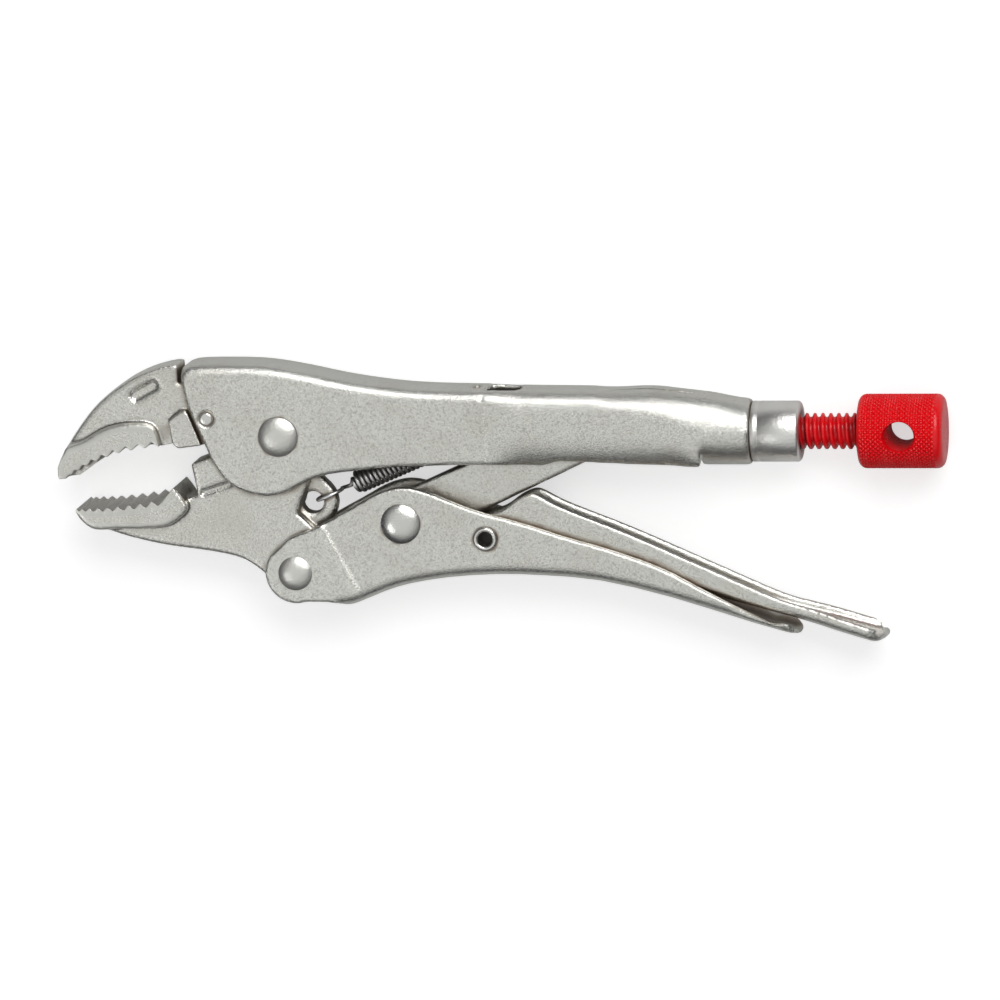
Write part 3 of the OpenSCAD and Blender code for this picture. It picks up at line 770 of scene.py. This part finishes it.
# ---------------------------------------------------------------- jaw spring
# Millimetres. Lengths along the spring run from the middle of the hook towards the tab.
WIRE, COIL = 1.1, 6.7
HOOK_RADIUS, HOOK_LEG, TAB_LOOP = 3.8, 6.8, 2.7
HOOK_BENDS = 3.0  # where the hook leaves the jaw's motion
LUG_X, LUG_Y = 8.0, -19.6
TAB_X, TAB_Y, TAB_LOW = 57.0, 1.2, 1.0
LUG_TO_HOOK = 4.975
LEAN = math.atan2(TAB_LOW - LUG_Y, TAB_X - LUG_X)
SPRING_FOOT = Vector((LUG_X, LUG_Y)) + LUG_TO_HOOK * Vector((math.cos(LEAN), math.sin(LEAN)))
SPRING_RUN = Vector((TAB_X, TAB_Y)) - SPRING_FOOT
SPRING_TURN = Matrix.Rotation(math.atan2(SPRING_RUN.y, SPRING_RUN.x), 4, "Z")
SPRING_FRAME = Matrix.Translation(at(SPRING_FOOT.x, SPRING_FOOT.y)) @ SPRING_TURN


def on_spring(reach):
    """A point on the spring's axis, so far from the middle of the hook."""
    return tuple(SPRING_FRAME @ Vector((reach * MM, 0, 0)))


def wire_piece(name, path):
    mesh = bpy.data.meshes.new(name)
    mesh.from_pydata([Vector(p) * MM for p in path], [(k, k + 1) for k in range(len(path) - 1)], [])
    piece = grown(name, WIRE_TREE, mesh, Radius=WIRE / 2 * MM, Sides=12, Material=SPRING_STEEL)
    return set_down(piece, SPRING_FRAME)


def hook(radius, leg):
    """An open hook in the plane of the axis and Z, ending in a straight leg along the axis."""
    path = []
    for k in range(31):
        a = math.radians(215 - 250 * k / 30)
        path.append((radius * math.cos(a), 0.0, radius * math.sin(a)))
    end = path[-1]
    for k in range(1, 9):
        t = k / 8
        s = t * t * (3 - 2 * t)
        path.append((end[0] + (leg - end[0]) * t, 0.0, end[2] * (1 - s)))
    return path


def spring_hook():
    return wire_piece("spring_hook", hook(HOOK_RADIUS, HOOK_LEG))


def spring_coil():
    """Close-wound coil that tapers at both ends into the tab's loop."""
    span = SPRING_RUN.length
    start, pitch, radius = HOOK_LEG + 0.9, WIRE * 1.24, (COIL - WIRE) / 2
    turns = int((span - start - 4.6) / pitch)
    path = [(HOOK_LEG - 0.3, 0.0, 0.0), (HOOK_LEG + 0.3, radius * 0.2, 0.0)]
    for k in range(turns * 26 + 1):
        t = k / 26
        taper = min(1.0, 0.55 + t * 0.6, 0.55 + (turns - t) * 0.6)
        turn = 2 * math.pi * t
        path.append((start + pitch * t, radius * taper * math.cos(turn), radius * taper * math.sin(turn)))
    x, y, z = path[-1]
    bends = [math.radians(180 - 300 * k / 28) for k in range(29)]
    loop = [(span + TAB_LOOP * math.cos(a), 0.0, TAB_LOOP * math.sin(a)) for a in bends]
    path += [(x + (loop[0][0] - x) * t, y * (1 - t), z * (1 - t)) for t in (0.3, 0.6, 0.85)] + loop
    return wire_piece("spring_coil", path)


# ---------------------------------------------------------------- hollows and corners, measured on the finished pieces, for the painted shade and the rubbed corners
def weigh_surfaces(pieces, rays):
    """Stores how boxed in and how sharp each point is, for the painted shade with a brown tint in hollows and the
    rubbed corners.
    """
    trees = []
    for piece in pieces:
        bm = bmesh.new()
        bm.from_mesh(piece.data)
        trees.append(BVHTree.FromBMesh(bm))
        bm.free()
    golden = math.pi * (3 - math.sqrt(5))
    spread = [Vector((math.sqrt(1 - z * z) * math.cos(golden * k), math.sqrt(1 - z * z) * math.sin(golden * k), z))
              for k in range(rays) for z in (0.2 + 0.75 * (k + 0.5) / rays,)]
    boxes = []
    for piece in pieces:
        co = points(piece.data)
        boxes.append((co.min(0), co.max(0)))
    reach = 0.014
    for index, piece in enumerate(pieces):
        mesh = piece.data
        near = [t for t, (lo, hi) in zip(trees, boxes)
                if all(lo[k] - reach < boxes[index][1][k] and hi[k] + reach > boxes[index][0][k] for k in range(3))]
        count = len(mesh.vertices)
        edges = np.empty(len(mesh.edges) * 2, np.int64)
        mesh.edges.foreach_get("vertices", edges)
        a, b = edges[::2], edges[1::2]
        co = points(mesh)
        normal = normals(mesh)
        step = 1 if count < 9000 else 5
        hollow = np.full(count, np.nan)
        for v in range(0, count, step):
            n = Vector(normal[v])
            o = Vector(co[v]) + n * 0.00035
            side = n.orthogonal().normalized()
            up = n.cross(side)
            hits = 0.0
            for d in spread:
                ray = side * d.x + up * d.y + n * d.z
                best = reach
                for tree in near:
                    far = tree.ray_cast(o, ray, best)[3]
                    if far is not None:
                        best = far
                hits += 1.0 - best / reach
            hollow[v] = hits / rays
        known = ~np.isnan(hollow)
        value = np.where(known, hollow, 0.0)
        weight = known.astype(float)
        for _ in range(7):
            sum_v, sum_w = value * weight, weight.copy()
            np.add.at(sum_v, a, value[b] * weight[b])
            np.add.at(sum_v, b, value[a] * weight[a])
            np.add.at(sum_w, a, weight[b])
            np.add.at(sum_w, b, weight[a])
            value = np.where(sum_w > 0, sum_v / np.maximum(sum_w, 1e-9), 0.0)
            weight = np.minimum(sum_w, 1.0)
        for label, data in (("hollow", value), ("corner", corners(mesh))):
            mesh.attributes.new(label, "FLOAT", "POINT").data.foreach_set("value", data.astype(np.float32))


# ---------------------------------------------------------------- putting the tool together
WIRE_TREE = wire_tree()
HALF = HANDLE_HALF / MM
made = [
    dressed(upper_handle(), HANDLE_PLATING, "upper_handle", "plated_sheet", "upper_handle"),
    dressed(lower_handle(), HANDLE_PLATING, "lower_handle", "plated_sheet", "lower_handle"),
    dressed(release_lever(), HANDLE_PLATING, "release_lever", "plated_sheet", "release_lever"),
    dressed(toggle_link(), JAW_PLATING, "toggle_link", "plated_forging", "toggle_link"),
    dressed(upper_jaw(), JAW_PLATING, "upper_handle", "plated_forging", "upper_jaw"),
    dressed(lower_jaw(), JAW_PLATING, "lower_jaw", "plated_forging", "lower_jaw"),
    dressed(domed_rivet("rivet_pivot", PIVOT, 8.0, 11.2, 1.75, HALF + 0.05),
            RIVET_STEEL, "pivot_rivet", "bright_steel", "pivot_rivet"),
    dressed(domed_rivet("rivet_handle", HANDLE_PIVOT, 7.0, 10.0, 1.75, HALF + 0.05),
            RIVET_STEEL, "handle_rivet", "bright_steel", "handle_rivet"),
    dressed(domed_rivet("rivet_toggle", TOGGLE_PIVOT, 7.0, 11.2, 1.75, HALF),
            POLISHED_STEEL, "lower_handle", "bright_steel", "toggle_rivet"),
    dressed(tie_pin(), POLISHED_STEEL, "upper_handle", "bright_steel", "tie_pin"),
    dressed(hollow_rivet(), POLISHED_STEEL, "lower_handle", "bright_steel", "lever_rivet"),
    dressed(bush(), BUSH_STEEL, "upper_handle", "bright_steel", "threaded_bush", smooth=math.radians(50)),
    dressed(screw_thread(), None, "adjusting_screw", "red_paint", "adjusting_screw", smooth=math.radians(60)),
    dressed(knob(), RED, "adjusting_screw", "red_paint", "adjusting_screw", smooth=math.radians(50)),
    dressed(screw_nose(), NOSE_STEEL, "screw_nose", "hard_steel", "screw_nose"),
    dressed(spring_hook(), None, ("lower_jaw", "pivot_rivet", on_spring(HOOK_BENDS), on_spring(HOOK_LEG)),
            "spring_wire", "jaw_spring", smooth=math.radians(70)),
    dressed(spring_coil(), None, ("pivot_rivet", "upper_handle", on_spring(HOOK_LEG), on_spring(SPRING_RUN.length)),
            "spring_wire", "jaw_spring", smooth=math.radians(70)),
]
for piece in made:
    if piece.name.startswith("jaw_"):
        piece.data.materials.append(GROUND_TEETH)
tooth_zone(next(p for p in made if p.name == "jaw_upper").data, 1)
tooth_zone(next(p for p in made if p.name == "jaw_lower").data, -1)
weigh_surfaces(made, 7)

# ---------------------------------------------------------------- floor, light and camera
floor_mesh = bpy.data.meshes.new("floor")
floor_mesh.from_pydata([(-3, -3, -0.0003), (3, -3, -0.0003), (3, 3, -0.0003), (-3, 3, -0.0003)], [], [(0, 1, 2, 3)])
floor = shown("floor", floor_mesh)
pale, w, skin = material("pale_floor")
cloud = w.noise(w.node("ShaderNodeTexCoord").outputs["Object"], 6.0, 2.0)
w.feed(skin, "Base Color", w.mix(cloud, (0.64, 0.64, 0.64, 1), (0.61, 0.61, 0.61, 1)))
skin.inputs["Roughness"].default_value = 0.9
skin.inputs["Emission Color"].default_value = (1, 1, 1, 1)
seen = w.node("ShaderNodeLightPath").outputs["Is Camera Ray"]
w.feed(skin, "Emission Strength", w.math("MULTIPLY_ADD", seen, 0.60, 0.02))
floor.data.materials.append(pale)

world = bpy.data.worlds.new("studio")
scene.world = world
world.use_nodes = True
w = Wiring(world.node_tree)
sky = world.node_tree.nodes["Background"]
up = w.node("ShaderNodeSeparateXYZ", inputs={0: w.node("ShaderNodeTexCoord").outputs["Generated"]}).outputs["Z"]
w.feed(sky, "Color", w.mix(w.span(up, 0.30, 1.0), (0.035, 0.035, 0.04, 1), (0.62, 0.63, 0.62, 1)))
sky.inputs["Strength"].default_value = 1.0


def soft_box(name, place, aim, size, power):
    light = bpy.data.lights.new(name, "AREA")
    light.shape = "RECTANGLE"
    light.size, light.size_y = size
    light.energy = power
    lamp = bpy.data.objects.new(name, light)
    scene.collection.objects.link(lamp)
    lamp.location = place
    lamp.rotation_euler = (Vector(aim) - Vector(place)).to_track_quat("-Z", "Y").to_euler()


centre = (Vector(cad_box[0]) + Vector(cad_box[1])) / 2
soft_box("key", centre + Vector((0.42, 1.02, 1.08)), centre, (1.3, 0.95), 14.0)
soft_box("fill", centre + Vector((-0.9, -0.55, 1.15)), centre, (0.5, 0.5), 1.2)

DISTANCE = 2.0
TILT_X, TILT_Y, ROLL = math.radians(10.5), math.radians(11.2), math.radians(-2.0)
away = Vector((math.tan(TILT_X), math.tan(TILT_Y), 1.0)).normalized()
right = Vector((0, 1, 0)).cross(away).normalized()
top = away.cross(right)
right, top = (right * math.cos(ROLL) + top * math.sin(ROLL), top * math.cos(ROLL) - right * math.sin(ROLL))
target = Vector((centre.x, centre.y, PIVOT.z)) - right * 0.55 * MM - top * 0.07 * MM
lens = bpy.data.cameras.new("camera")
lens.sensor_width = 36
lens.lens = 36 * 7.207
camera = bpy.data.objects.new("camera", lens)
scene.collection.objects.link(camera)
camera.matrix_world = Matrix.Translation(target + away * DISTANCE) @ Matrix((right, top, away)).transposed().to_4x4()
scene.camera = camera
scene.view_settings.view_transform = "Standard"
